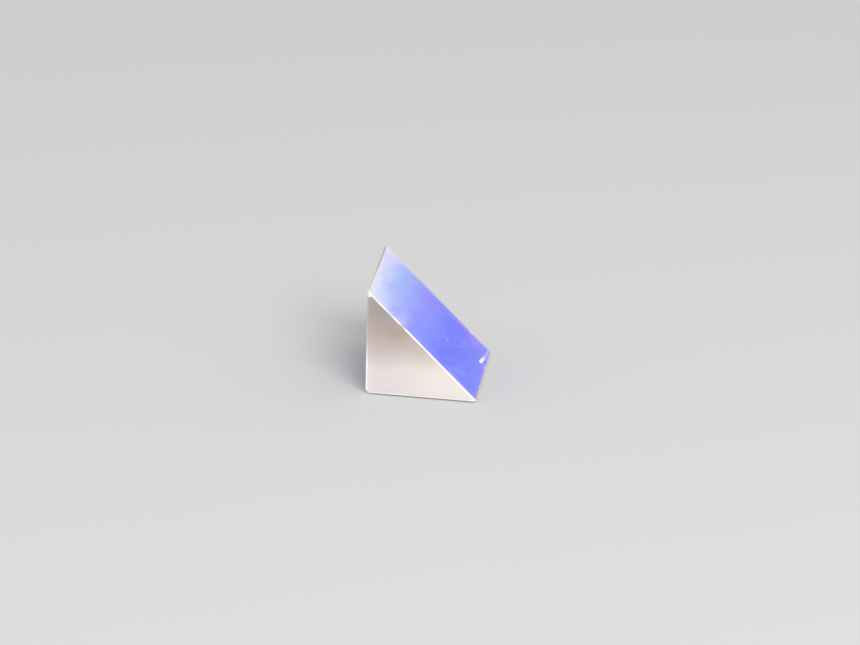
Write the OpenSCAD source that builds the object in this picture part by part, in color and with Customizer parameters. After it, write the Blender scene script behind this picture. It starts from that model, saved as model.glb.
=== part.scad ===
// Right-angle prism: a 45-90-45 glass prism with three polished faces,
// two finely ground ends and a narrow protective bevel along every edge.
//
// Millimetres, +Z up. The prism rests on one leg face. The origin is the
// centre of that face, the other leg face looks along -X, and the polished
// hypotenuse looks up and along +X. The ground ends look along -Y and +Y.

/* [Prism] */
// Length of each leg face, measured to the sharp corners
leg = 10; // [3:0.5:50]
// Depth between the two ground ends
depth = 10; // [3:0.5:50]

/* [Bevels] */
// Width taken off each face along the edge between the two legs
right_bevel = 0.3; // [0.1:0.05:0.5]
// Width taken off each face along the two 45 degree edges
acute_bevel = 0.25; // [0.1:0.05:0.5]
// Width that the bevels around an end take off the ground face
end_bevel = 0.16; // [0.1:0.01:0.4]
// Width that the same bevels take off the polished faces
side_bevel = 0.05; // [0.03:0.01:0.3]
// Depth ground off each of the four sharp corners, towards the glass
corner_nip = 0.18; // [0.14:0.01:0.3]

/* [Edge chips] */
// Radius of the shell that each small handling chip leaves
chip_r = 0.2; // [0.1:0.01:0.3]
// How far a chip bites into its edge
chip_bite = 0.07; // [0.02:0.01:0.09]
// Chip at the rear end of the hypotenuse, as a share of the way up the slope
rear_chip_at = 0.19; // [0.15:0.01:0.85]
// Nearer chip on the lower 45 degree edge, as a share of the depth from the front
near_chip_at = 0.27; // [0.2:0.01:0.4]
// Farther chip on the lower 45 degree edge, as a share of the depth from the front
far_chip_at = 0.65; // [0.6:0.01:0.8]
// Chip at the front foot, as a share of the base from the upright face
foot_chip_at = 0.28; // [0.15:0.01:0.85]

/* [Appearance] */
// Red, green, blue and opacity of the coated glass
glass_colour = [0.66, 0.68, 0.96, 0.8];
// Segments around each chip's shell
chip_segments = 48; // [16:8:96]

/* [Hidden] */
// Names of the pieces, and the one to draw
// Half of a leg and half of the depth, reached on each side of the origin
half_leg = leg / 2;
half_depth = depth / 2;
// How far a width measured along the slope reaches along a leg
slope_run = acute_bevel / sqrt(2);
// Size of the blocks that trim the prism, past every corner of it
reach = 2 * leg;
// Outward direction of the hypotenuse
slope_out = [1, 0, 1] / sqrt(2);
// Each polished face: its centre, and the turn about Y that points +Z into the glass
POLISHED_FACES = [
    [[0, 0, 0], 0],
    [[-half_leg, 0, half_leg], 90],
    [[0, 0, half_leg], 225]
];
// How much more a corner nip faces its end than it faces the two polished faces
nip_lean = 3;
// Each sharp corner: its point, and the way out of the glass there
SHARP_CORNERS = [
    for (end = [-1, 1]) each [
        [[-half_leg, end * half_depth, leg], slope_out + [-1, end * nip_lean, 0]],
        [[half_leg, end * half_depth, 0], slope_out + [0, end * nip_lean, -1]]
    ]
];
// Each chip: a point where a bevel meets its face, and the way out of the glass
CHIPS = [
    [[half_leg - leg * rear_chip_at, half_depth - side_bevel, leg * rear_chip_at], [0, 1, 0]],
    [[half_leg - slope_run, depth * near_chip_at - half_depth, slope_run], [1, 0, 0]],
    [[half_leg - slope_run, depth * far_chip_at - half_depth, slope_run], [1, 0, 0]],
    [[leg * foot_chip_at - half_leg, -half_depth, end_bevel], [0, -1, 0]]
];

// The triangle in its own plane, base along X, with its three corners cut
module profile() {
    polygon([
        [right_bevel - half_leg, 0],
        [half_leg - acute_bevel, 0],
        [half_leg - slope_run, slope_run],
        [slope_run - half_leg, leg - slope_run],
        [-half_leg, leg - acute_bevel],
        [-half_leg, right_bevel]
    ]);
}

// The profile drawn out from end to end, before the ends are bevelled
module drawn_body() {
    rotate([90, 0, 0])
        linear_extrude(height = depth, center = true)
            profile();
}

// A block on z = 0, as deep as the prism, with a bevel along its two lower ends
module end_trim() {
    rotate([90, 0, 90])
        linear_extrude(height = reach, center = true)
            polygon([
                [side_bevel - half_depth, 0],
                [half_depth - side_bevel, 0],
                [half_depth, end_bevel],
                [half_depth, reach],
                [-half_depth, reach],
                [-half_depth, end_bevel]
            ]);
}

// The space shared by a trimming block laid on each polished face
module bevelled_ends() {
    intersection_for (face = POLISHED_FACES)
        translate(face[0])
            rotate([0, face[1], 0])
                end_trim();
}

// What is ground off one corner: all that lies past a plane square to outward
module nip(corner, outward) {
    translate(corner)
        rotate([0, acos(outward.z / norm(outward)), atan2(outward.y, outward.x)])
            translate([0, 0, reach / 2 - corner_nip])
                cube(reach, center = true);
}

// One shell chip, given the edge point that it takes away and the way out
module chip(edge_point, outward) {
    translate(edge_point + outward * (chip_r - chip_bite))
        sphere(r = chip_r, $fn = chip_segments);
}

// The prism, one piece of glass
module prism() {
    color(glass_colour)
        difference() {
            intersection() {
                drawn_body();
                bevelled_ends();
            }
            for (place = SHARP_CORNERS)
                nip(place[0], place[1]);
            for (place = CHIPS)
                chip(place[0], place[1]);
        }
}

prism();
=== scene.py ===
import math
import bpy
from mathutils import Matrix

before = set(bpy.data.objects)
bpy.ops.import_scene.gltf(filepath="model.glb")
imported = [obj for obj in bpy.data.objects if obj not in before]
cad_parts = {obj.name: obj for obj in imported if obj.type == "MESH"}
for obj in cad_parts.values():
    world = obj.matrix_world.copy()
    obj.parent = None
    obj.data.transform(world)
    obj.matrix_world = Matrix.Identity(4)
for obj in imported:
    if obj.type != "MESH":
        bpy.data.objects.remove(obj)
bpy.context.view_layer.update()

from types import SimpleNamespace

import bpy
from mathutils import Matrix, Vector

# The prism's sizes in metres, in the CAD frame, under the names that its source has for them
LEG = 0.010
HALF = LEG / 2
END_BEVEL = 0.00016
SIDE_BEVEL = 0.00005
ACUTE_BEVEL = 0.00025
CORNER_NIP = 0.00018
NIP_LEAN = 3
CHIP_R = 0.0002
CHIP_BITE = 0.00007
# The chips' places: a share of the slope, two of the depth from the front, and one of the base
REAR_CHIP_AT = 0.19
NEAR_CHIP_AT = 0.27
FAR_CHIP_AT = 0.65
FOOT_CHIP_AT = 0.28
# A point this near to a plane or a chip's shell counts as lying on it
SKIN = 3e-6

# The glass: its index, its roughness where clean, smudged and ground, and the shares of light
# that the coated face and the ground ends pass
GLASS_IOR = 1.517
CLEAN_ROUGHNESS = 0.02
SMUDGED_ROUGHNESS = 0.07
GROUND_ROUGHNESS = 0.5
COATED_CLEAR = 0.20
GROUND_CLEAR = 0.15
# Sizes across of the painted detail, and the height of the ground surface's bumps, in metres
SMUDGE_SIZE = 0.0022
MOTTLE_SIZE = 0.0030
GRAIN_SIZE = 0.00012
BUMP_SIZE = 0.00006
BUMP_HEIGHT = 4e-6

# How far the floor lies below the base, its half width, and its shade of grey
FLOOR_GAP = 1.2e-4
FLOOR_REACH = 2.0
FLOOR_GREY = 0.55

# The photo's view: angles in degrees, distance, and focal length in pixels of the picture
AZIMUTH = 7.74
ELEVATION = 25.25
ROLL = 1.43
DISTANCE = 30 * LEG
FOCAL_PX = 3383
IMAGE_WIDTH = 860
# Where the middle of the prism lies from the middle of the picture, right and up, in pixels
OFF_X = 1.05
OFF_Y = 0.21

# Colours below are on the 0 to 255 screen scale, and places on the hypotenuse are
# (deep, up): shares of the depth from the front and of the height from the base.

# The violet of the coating from the base up
COATING = [
    (0.03, (117, 124, 252)), (0.14, (102, 116, 252)), (0.34, (98, 109, 252)),
    (0.60, (130, 141, 252)), (0.83, (165, 184, 252)), (0.97, (221, 224, 252))]
# How far the wisps shift that violet, and how far they push the clouds, as shares of a leg
WISP_TONE = 0.16
WISP_DEEP = 0.16
WISP_UP = 0.14
# How much the wisps strengthen the clouds
WISP_GAIN = 2.0
# The icy corner at the front of the apex: how far down it reaches, how fast it narrows towards
# the rear, and its colour
ICE_REACH = 0.29
ICE_SLANT = 0.45
ICE = (214, 232, 246)
# Soft clouds in the coating: start, end, half width, softness, strength, colour
CLOUDS = [
    ((0.00, 0.88), (0.42, 0.78), 0.02, 0.05, 0.32, (214, 202, 252)),
    ((0.50, 0.83), (0.85, 0.76), 0.03, 0.06, 0.30, (136, 186, 252)),
    ((0.00, 0.72), (0.24, 0.68), 0.03, 0.05, 0.38, (206, 194, 252)),
    ((0.70, 0.61), (1.00, 0.48), 0.08, 0.10, 0.42, (140, 124, 252)),
    ((0.14, 0.54), (0.40, 0.44), 0.05, 0.06, 0.50, (92, 132, 252)),
    ((0.13, 0.41), (0.60, 0.17), 0.03, 0.05, 0.58, (76, 106, 252)),
    ((0.06, 0.26), (0.26, 0.16), 0.02, 0.06, 0.40, (150, 170, 252)),
    ((0.64, 0.44), (0.84, 0.23), 0.06, 0.07, 0.35, (106, 94, 252)),
    ((0.94, 0.38), (1.00, 0.20), 0.05, 0.06, 0.42, (172, 138, 252)),
    ((0.84, 0.17), (1.00, 0.13), 0.04, 0.06, 0.50, (172, 138, 252)),
    ((0.52, 0.30), (0.80, 0.16), 0.006, 0.02, 0.30, (178, 150, 250))]
# Fine handling marks, listed in the same way
MARKS = [
    ((0.537, 0.397), (0.500, 0.360), 0.0020, 0.0030, 0.50, (206, 208, 252)),
    ((0.502, 0.364), (0.460, 0.332), 0.0030, 0.0040, 0.55, (216, 216, 252)),
    ((0.620, 0.543), (0.596, 0.508), 0.0015, 0.0015, 0.50, (200, 206, 252)),
    ((0.100, 0.440), (0.300, 0.374), 0.0020, 0.0060, 0.28, (186, 164, 248))]
# The paler glow inside the front edge, painted light: colour, the depths where it ends and is
# full, and its strength all along and around three heights: height, reach to each side, added
# strength
GLOW = (210, 196, 252)
GLOW_EDGE = (0.12, 0.01)
GLOW_BASE = 0.08
GLOW_PEAKS = [(0.71, 0.07, 0.45), (0.58, 0.10, 0.10), (0.23, 0.12, 0.18)]
# The line along the rear edge of the coating: depths where it starts and is full, strength,
# colours from the base up, and the painted glint at its chip as height, reach to each side,
# colour
REAR_EDGE = (0.956, 0.980)
REAR_STRENGTH = 0.85
REAR_LINE = [
    (0.05, (162, 146, 234)), (0.12, (204, 176, 224)), (0.30, (178, 154, 236)),
    (0.60, (188, 168, 232)), (0.95, (238, 226, 236))]
REAR_GLINT = (0.20, 0.03, (240, 208, 234))
# The two lines along the lower edge, painted edge highlights: heights where each starts and is
# full, strength, colour
LOWER_LINES = [
    (0.034, 0.024, 0.60, (176, 158, 234)), (0.024, 0.020, 0.85, (222, 184, 186))]
# A painted reflection: the image of the rear bevel, seen through the lower rear corner, painted
# on the coating as a pale haze and a faint glint, listed like the clouds, and a streak without a
# strength. The streak's colour at the rear changes towards the front: depths where each change
# starts and is full, colour
IMAGE_HAZE = ((1.00, 0.032), (0.79, 0.050), 0.012, 0.007, 0.90, (160, 178, 237))
FAINT_GLINT = ((0.70, 0.030), (0.58, 0.036), 0.010, 0.014, 0.22, (196, 204, 252))
STREAK = ((0.84, 0.045), (0.654, 0.070), 0.0115, 0.004)
STREAK_REAR = (158, 178, 236)
STREAK_CHANGES = [(0.84, 0.76, (226, 216, 232)), (0.79, 0.73, (250, 246, 242))]

# The ground ends from the base up, lighter at the base and darker towards the apex as painted
# light and shade, and how far the mottle shifts that
GROUND_AND_SHADE = [
    (0.02, (227, 217, 217)), (0.12, (231, 220, 220)), (0.25, (230, 219, 217)),
    (0.45, (201, 188, 180)), (0.60, (184, 170, 161)), (0.80, (170, 156, 150))]
MOTTLE_SHIFT = 0.10
# Where the ends are lighter, as painted light: shares of the base where that starts and is full,
# gain
GROUND_LIGHTS = [(0.18, 0.75, (1.11, 1.14, 1.07)), (0.12, 0.00, (1.06, 1.06, 1.05))]
# The darker, warmer patch on the ends: middle and reach along the base and up, and gain
DARK_PATCH_ACROSS = (0.27, 0.16)
DARK_PATCH_UP = (0.58, 0.13)
DARK_PATCH_GAIN = (0.93, 0.88, 0.85)
# The gain of the grain on the ends, at its darkest and lightest
GRAIN_DARK = (0.985, 0.985, 0.985)
GRAIN_LIGHT = (1.012, 1.012, 1.012)

# The bevel between the front end and the hypotenuse, and the places where it takes a colour, as
# painted glints of reflected light: height, reach to each side, colour
SLOPE_BEVEL = (238, 236, 236)
SLOPE_BEVEL_GLINTS = [
    (0.475, 0.03, (224, 207, 206)), (0.672, 0.04, (196, 176, 184)),
    (0.783, 0.07, (188, 214, 238)), (0.915, 0.04, (224, 203, 208))]
# The bevel between the front end and the upright face, from the base up
WALL_BEVEL = [
    (0.28, (253, 247, 239)), (0.50, (201, 191, 188)), (0.70, (182, 171, 179)),
    (0.90, (186, 174, 176)), (0.97, (216, 204, 196))]
# The bevel along the apex, from the front to the rear
APEX_BEVEL = [
    (0.00, (222, 204, 189)), (0.45, (200, 178, 156)), (0.65, (177, 161, 147)),
    (0.85, (176, 163, 159))]
# The other bevels, the nip at the front of the apex, and the chips by the slope and at the foot;
# the chips by the slope are painted bright cream, their fracture with a painted highlight
OTHER_BEVEL = (250, 246, 240)
WHITE_NIP = (240, 238, 238)
CHIP_AND_HIGHLIGHT = (250, 226, 218)
FOOT_CHIP = (232, 220, 214)
# The clear leg faces
CLEAR = (250, 251, 255)

scene = bpy.context.scene
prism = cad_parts["prism"]


def srgb(red, green, blue):
    """A colour on the 0 to 255 screen scale, as the linear colour that shaders take."""
    linear = []
    for value in (red, green, blue):
        share = value / 255
        linear.append(share / 12.92 if share <= 0.04045 else ((share + 0.055) / 1.055) ** 2.4)
    return (*linear, 1.0)


class Graph:
    """Short names for building a node tree."""

    def __init__(self, tree):
        self.tree = tree
        tree.nodes.clear()

    def node(self, kind, **settings):
        made = self.tree.nodes.new(kind)
        for key, value in settings.items():
            setattr(made, key, value)
        return made

    def feed(self, value, socket):
        """Link value to socket if it is a socket itself, and otherwise set it there."""
        if isinstance(value, bpy.types.NodeSocket):
            self.tree.links.new(value, socket)
        else:
            socket.default_value = value

    def math(self, operation, *values):
        made = self.node("ShaderNodeMath", operation=operation)
        for value, socket in zip(values, made.inputs):
            self.feed(value, socket)
        return made.outputs[0]

    def add(self, first, *others):
        for other in others:
            first = self.math("ADD", first, other)
        return first

    def sub(self, a, b):
        return self.math("SUBTRACT", a, b)

    def mul(self, first, *others):
        for other in others:
            first = self.math("MULTIPLY", first, other)
        return first

    def less(self, a, b):
        """1 where a is less than b, 0 elsewhere."""
        return self.math("LESS_THAN", a, b)

    def either(self, a, b):
        """The larger of two numbers, so 1 where either of two masks is 1."""
        return self.math("MAXIMUM", a, b)

    def mix(self, factor, a, b, blend="MIX"):
        """Colour a, turned into colour b by factor."""
        made = self.node("ShaderNodeMix", data_type="RGBA", blend_type=blend)
        for value, place in ((factor, 0), (a, 6), (b, 7)):
            self.feed(value, made.inputs[place])
        return made.outputs[2]

    def lerp(self, factor, a, b):
        """Number a, turned into number b by factor."""
        made = self.node("ShaderNodeMix", data_type="FLOAT")
        for value, place in ((factor, 0), (a, 2), (b, 3)):
            self.feed(value, made.inputs[place])
        return made.outputs[0]

    def tint(self, factor, colour, screen_colour):
        """The colour given, turned by factor into one on the screen scale."""
        return self.mix(factor, colour, srgb(*screen_colour))

    def gain(self, factor, colour, channels):
        """The colour given, with its channels multiplied as far as factor says."""
        share = self.mix(factor, (1, 1, 1, 1), (*channels, 1))
        return self.mix(1.0, colour, share, "MULTIPLY")

    def span(self, value, start, end):
        """A smooth step from 0 at start to 1 at end."""
        made = self.node("ShaderNodeMapRange", interpolation_type="SMOOTHSTEP")
        for number, socket in zip((value, start, end), made.inputs):
            self.feed(number, socket)
        return made.outputs[0]

    def bump_at(self, value, middle, width):
        """1 at middle, falling smoothly to 0 at a distance of width."""
        return self.span(self.math("ABSOLUTE", self.sub(value, middle)), width, 0.0)

    def ramp(self, value, stops):
        """The colour that the (value, screen colour) stops give."""
        made = self.node("ShaderNodeValToRGB")
        elements = made.color_ramp.elements
        while len(elements) < len(stops):
            elements.new(1.0)
        for element, (place, colour) in zip(elements, stops):
            element.position = place
            element.color = srgb(*colour)
        self.feed(value, made.inputs[0])
        return made.outputs[0]

    def noise(self, place, size, detail=2.0):
        """Noise from 0 to 1 with features about size across."""
        made = self.node("ShaderNodeTexNoise")
        self.feed(place, made.inputs["Vector"])
        made.inputs["Scale"].default_value = 1 / size
        made.inputs["Detail"].default_value = detail
        return made.outputs["Fac"]

    def glint(self, colour, value, middle, width, screen_colour):
        """A painted glint: the colour given, turned into another where value is at middle."""
        return self.tint(self.bump_at(value, middle, width), colour, screen_colour)

    def strip(self, at, start, end, half_width, soft):
        """1 inside a straight strip between two places on the hypotenuse, 0 outside it."""
        (u0, v0), (u1, v1) = start, end
        length = math.hypot(u1 - u0, v1 - v0)
        du, dv = (u1 - u0) / length, (v1 - v0) / length
        pu, pv = self.sub(at.deep, u0), self.sub(at.up, v0)
        along = self.add(self.mul(pu, du), self.mul(pv, dv))
        off = self.math("ABSOLUTE", self.sub(self.mul(pu, dv), self.mul(pv, du)))
        return self.mul(
            self.span(off, half_width + soft, half_width - soft),
            self.span(along, -soft, soft),
            self.span(along, length + soft, length - soft))

    def patch(self, colour, at, start, end, half_width, soft, strength, screen_colour):
        """The colour given, turned by strength into another inside a strip."""
        inside = self.strip(at, start, end, half_width, soft)
        return self.tint(self.mul(inside, strength), colour, screen_colour)


def chip_middles():
    """The middle of each chip's shell: slope, lower edge near and far, and front foot."""
    out = CHIP_R - CHIP_BITE
    low = ACUTE_BEVEL / math.sqrt(2)
    return (
        (HALF - REAR_CHIP_AT * LEG, HALF - SIDE_BEVEL + out, REAR_CHIP_AT * LEG),
        (HALF - low + out, NEAR_CHIP_AT * LEG - HALF, low),
        (HALF - low + out, FAR_CHIP_AT * LEG - HALF, low),
        (FOOT_CHIP_AT * LEG - HALF, -HALF - out, END_BEVEL))


def places(g):
    """Where a point of the surface lies: as shares of a leg, and on which kind of surface."""
    at = SimpleNamespace()
    at.point = g.node("ShaderNodeTexCoord").outputs["Object"]
    split = g.node("ShaderNodeSeparateXYZ")
    g.feed(at.point, split.inputs[0])
    x, y, z = split.outputs
    at.up = g.math("DIVIDE", z, LEG)
    at.across = g.math("DIVIDE", g.add(x, HALF), LEG)
    at.deep = g.math("DIVIDE", g.add(y, HALF), LEG)
    # depth below each plane of the prism, and below the nearer of its two ends
    below_slope = g.mul(g.sub(HALF, g.add(x, z)), math.sqrt(0.5))
    below_wall = g.add(x, HALF)
    below_front = g.add(y, HALF)
    below_end = g.sub(HALF, g.math("ABSOLUTE", y))
    at.slope = g.less(below_slope, SKIN)
    at.legs = g.either(g.less(z, SKIN), g.less(below_wall, SKIN))
    at.polished = g.either(at.slope, at.legs)
    # the corner nips at the apex and at the foot of the slope, by depth from each sharp corner
    lean = Vector((1 - math.sqrt(0.5), NIP_LEAN, math.sqrt(0.5))).normalized()
    from_apex = g.add(
        g.mul(below_wall, lean.x), g.mul(below_end, lean.y), g.mul(g.sub(LEG, z), lean.z))
    from_foot = g.add(
        g.mul(g.sub(HALF, x), lean.z), g.mul(below_end, lean.y), g.mul(z, lean.x))
    front_apex_nip = g.mul(g.less(from_apex, CORNER_NIP + SKIN), g.less(y, 0))
    foot_nips = g.less(from_foot, CORNER_NIP + SKIN)
    # the bevels that show from the front, each by the strip that it lies in
    near_front = g.less(below_front, SIDE_BEVEL)
    wall_strip = g.less(below_wall, END_BEVEL)
    slope_strip = g.less(below_slope, END_BEVEL)
    at.slope_bevel = g.mul(g.either(near_front, foot_nips), slope_strip)
    at.wall_bevel = g.mul(g.either(near_front, front_apex_nip), wall_strip)
    at.apex_bevel = g.mul(
        g.less(LEG - ACUTE_BEVEL - SKIN, z), g.less(SIDE_BEVEL, below_front))
    at.white_nip = g.mul(front_apex_nip, g.sub(1.0, wall_strip))
    # the ground ends, with the part of each foot nip that lies inside the strips
    inner_nips = g.mul(foot_nips, g.sub(1.0, slope_strip), g.less(END_BEVEL, z))
    at.ends = g.either(g.less(below_end, SKIN), inner_nips)
    # the chips' shells, by the distance from each one's middle
    at.chips = 0.0
    for middle in chip_middles():
        away = g.node("ShaderNodeVectorMath", operation="DISTANCE")
        g.feed(at.point, away.inputs[0])
        away.inputs[1].default_value = middle
        at.chips = g.either(at.chips, g.less(away.outputs["Value"], CHIP_R + SKIN))
    return at


def drift(g, at):
    """Noise from 0 to 1 in wisps that run down towards the rear, as the coating's clouds do."""
    turn = math.radians(30)
    stretch = 0.35
    slope_up = g.mul(at.up, math.sqrt(2))
    along = g.sub(g.mul(at.deep, math.cos(turn)), g.mul(slope_up, math.sin(turn)))
    across = g.add(g.mul(at.deep, math.sin(turn)), g.mul(slope_up, math.cos(turn)))
    place = g.node("ShaderNodeCombineXYZ")
    g.feed(g.mul(along, stretch), place.inputs[0])
    g.feed(across, place.inputs[1])
    return g.noise(place.outputs[0], size=0.11, detail=3.0)


def coating_and_painted_light(g, at):
    """The coated hypotenuse: icy at the front of the apex, violet below, with light wear and
    painted light.
    """
    wisps = g.sub(drift(g, at), 0.5)
    colour = g.ramp(g.add(at.up, g.mul(wisps, WISP_TONE)), COATING)
    from_corner = g.add(g.sub(1.0, at.up), g.mul(at.deep, ICE_SLANT))
    colour = g.tint(g.span(from_corner, ICE_REACH, 0.0), colour, ICE)
    # the clouds' edges and strength wander with the wisps, and the marks stay fine and straight
    blown = SimpleNamespace(
        deep=g.add(at.deep, g.mul(wisps, WISP_DEEP)), up=g.add(at.up, g.mul(wisps, WISP_UP)))
    gust = g.add(1.0, g.mul(wisps, WISP_GAIN))
    for start, end, half_width, soft, strength, tint in CLOUDS:
        inside = g.strip(blown, start, end, half_width, soft)
        colour = g.tint(g.mul(inside, strength, gust), colour, tint)
    for mark in MARKS:
        colour = g.patch(colour, at, *mark)
    # the painted glow inside the front edge, the line inside the rear edge with a painted glint
    # at its chip, the pale haze of the painted reflection, and the painted highlights inside the
    # lower edge
    peaks = [
        g.mul(g.bump_at(at.up, height, reach), strength)
        for height, reach, strength in GLOW_PEAKS]
    glow = g.add(GLOW_BASE, *peaks)
    colour = g.tint(g.mul(g.span(at.deep, *GLOW_EDGE), glow), colour, GLOW)
    rear_line = g.glint(g.ramp(at.up, REAR_LINE), at.up, *REAR_GLINT)
    colour = g.mix(g.mul(g.span(at.deep, *REAR_EDGE), REAR_STRENGTH), colour, rear_line)
    colour = g.patch(colour, at, *IMAGE_HAZE)
    for start, full, strength, tint in LOWER_LINES:
        colour = g.tint(g.mul(g.span(at.up, start, full), strength), colour, tint)
    # the streak in the lower rear corner and its faint glint: the painted reflection of the rear
    # bevel
    streak = srgb(*STREAK_REAR)
    for start, full, tint in STREAK_CHANGES:
        streak = g.tint(g.span(at.deep, start, full), streak, tint)
    colour = g.mix(g.strip(at, *STREAK), colour, streak)
    return g.patch(colour, at, *FAINT_GLINT)


def ground_and_painted_light(g, at):
    """The finely ground ends: darker and warmer towards the apex, lighter towards the foot, as
    painted shade and light.
    """
    mottle = g.sub(g.noise(at.point, MOTTLE_SIZE), 0.5)
    colour = g.ramp(g.add(at.up, g.mul(mottle, MOTTLE_SHIFT)), GROUND_AND_SHADE)
    # painted light towards the foot and towards the upright face
    for start, full, channels in GROUND_LIGHTS:
        colour = g.gain(g.span(at.across, start, full), colour, channels)
    dark_patch = g.mul(g.bump_at(at.across, *DARK_PATCH_ACROSS), g.bump_at(at.up, *DARK_PATCH_UP))
    colour = g.gain(dark_patch, colour, DARK_PATCH_GAIN)
    grain = g.mix(g.noise(at.point, GRAIN_SIZE), (*GRAIN_DARK, 1), (*GRAIN_LIGHT, 1))
    return g.mix(1.0, colour, grain, "MULTIPLY")


def bevel_and_painted_light(g, at):
    """The ground bevels, painted lighter than the ends for the light they catch, with painted
    glints.
    """
    along_slope = srgb(*SLOPE_BEVEL)
    for glint in SLOPE_BEVEL_GLINTS:
        along_slope = g.glint(along_slope, at.up, *glint)
    colour = g.mix(at.wall_bevel, srgb(*OTHER_BEVEL), g.ramp(at.up, WALL_BEVEL))
    colour = g.mix(at.slope_bevel, colour, along_slope)
    colour = g.mix(at.apex_bevel, colour, g.ramp(at.deep, APEX_BEVEL))
    colour = g.tint(at.white_nip, colour, WHITE_NIP)
    # the chips by the slope painted bright: fracture shells with a painted highlight
    shell = g.tint(g.less(at.across, 0.5), srgb(*CHIP_AND_HIGHLIGHT), FOOT_CHIP)
    return g.mix(at.chips, colour, shell)


def optical_glass():
    """The one material: clear legs, coated slope, ground ends and bevels, told apart by place."""
    made = bpy.data.materials.new("optical_glass")
    made.use_nodes = True
    g = Graph(made.node_tree)
    out = g.node("ShaderNodeOutputMaterial")
    bsdf = g.node("ShaderNodeBsdfPrincipled")
    g.feed(bsdf.outputs[0], out.inputs[0])
    bsdf.inputs["IOR"].default_value = GLASS_IOR
    at = places(g)
    colour = g.mix(at.ends, bevel_and_painted_light(g, at), ground_and_painted_light(g, at))
    colour = g.mix(at.slope, colour, coating_and_painted_light(g, at))
    colour = g.tint(at.legs, colour, CLEAR)
    g.feed(colour, bsdf.inputs["Base Color"])
    smudges = g.span(g.noise(at.point, SMUDGE_SIZE, detail=4.0), 0.52, 0.75)
    polish = g.lerp(smudges, CLEAN_ROUGHNESS, SMUDGED_ROUGHNESS)
    g.feed(g.lerp(at.polished, GROUND_ROUGHNESS, polish), bsdf.inputs["Roughness"])
    clear = g.lerp(at.slope, g.mul(at.ends, GROUND_CLEAR), COATED_CLEAR)
    g.feed(g.lerp(at.legs, clear, 1.0), bsdf.inputs["Transmission Weight"])
    relief = g.node("ShaderNodeBump")
    relief.inputs["Distance"].default_value = BUMP_HEIGHT
    g.feed(g.sub(1.0, at.polished), relief.inputs["Strength"])
    g.feed(g.noise(at.point, BUMP_SIZE, detail=3.0), relief.inputs["Height"])
    g.feed(relief.outputs[0], bsdf.inputs["Normal"])
    return made


def add_camera():
    """A long lens at the photo's viewing angle."""
    azimuth, elevation, roll = map(math.radians, (AZIMUTH, ELEVATION, ROLL))
    back = Vector((
        math.sin(azimuth) * math.cos(elevation),
        -math.cos(azimuth) * math.cos(elevation),
        math.sin(elevation)))
    level = Vector((math.cos(azimuth), math.sin(azimuth), 0))
    rise = back.cross(level)
    right = level * math.cos(roll) + rise * math.sin(roll)
    up = rise * math.cos(roll) - level * math.sin(roll)
    metres_per_px = DISTANCE / FOCAL_PX
    target = Vector((0, 0, HALF)) - (right * OFF_X + up * OFF_Y) * metres_per_px
    data = bpy.data.cameras.new("camera")
    data.lens = data.sensor_width * FOCAL_PX / IMAGE_WIDTH
    data.clip_start = 0.01
    data.clip_end = 10
    camera = bpy.data.objects.new("camera", data)
    scene.collection.objects.link(camera)
    camera.matrix_world = Matrix((right, up, back)).transposed().to_4x4()
    camera.location = target + back * DISTANCE
    scene.camera = camera


def add_floor():
    """A plain pale floor, a hair below the base: the base still reflects inside the glass, and
    the gap shows as the dark line under the prism."""
    sides = ((-1, -1), (1, -1), (1, 1), (-1, 1))
    corners = [(x * FLOOR_REACH, y * FLOOR_REACH, -FLOOR_GAP) for x, y in sides]
    mesh = bpy.data.meshes.new("floor")
    mesh.from_pydata(corners, [], [(0, 1, 2, 3)])
    floor = bpy.data.objects.new("floor", mesh)
    scene.collection.objects.link(floor)
    made = bpy.data.materials.new("floor")
    made.use_nodes = True
    bsdf = made.node_tree.nodes["Principled BSDF"]
    bsdf.inputs["Base Color"].default_value = (FLOOR_GREY, FLOOR_GREY, FLOOR_GREY, 1)
    bsdf.inputs["Roughness"].default_value = 0.9
    floor.data.materials.append(made)


def add_soft_box(name, place, size, radiance):
    """A round soft box aimed at the prism."""
    data = bpy.data.lights.new(name, "AREA")
    data.shape = "DISK"
    data.size = size
    area = math.pi * (size / 2) ** 2
    data.energy = radiance * math.pi * area
    box = bpy.data.objects.new(name, data)
    box.location = place
    aim = Vector((0, 0, HALF)) - Vector(place)
    box.rotation_euler = aim.to_track_quat("-Z", "Y").to_euler()
    scene.collection.objects.link(box)


def add_world(radiance):
    """Plain white light from all sides."""
    world = bpy.data.worlds.new("world")
    scene.world = world
    world.use_nodes = True
    background = world.node_tree.nodes["Background"]
    background.inputs["Color"].default_value = (1, 1, 1, 1)
    background.inputs["Strength"].default_value = radiance


prism.data.materials.clear()
prism.data.materials.append(optical_glass())
add_camera()
add_floor()
add_soft_box("key", place=(0.20, -0.32, 0.34), size=0.32, radiance=7.4)
add_soft_box("side", place=(-0.36, -0.16, 0.26), size=0.25, radiance=1.2)
add_world(radiance=0.75)

scene.view_settings.view_transform = "Standard"
# enough bounces for light to find its way out of the glass
scene.cycles.max_bounces = 24
scene.cycles.glossy_bounces = 16
scene.cycles.transmission_bounces = 16
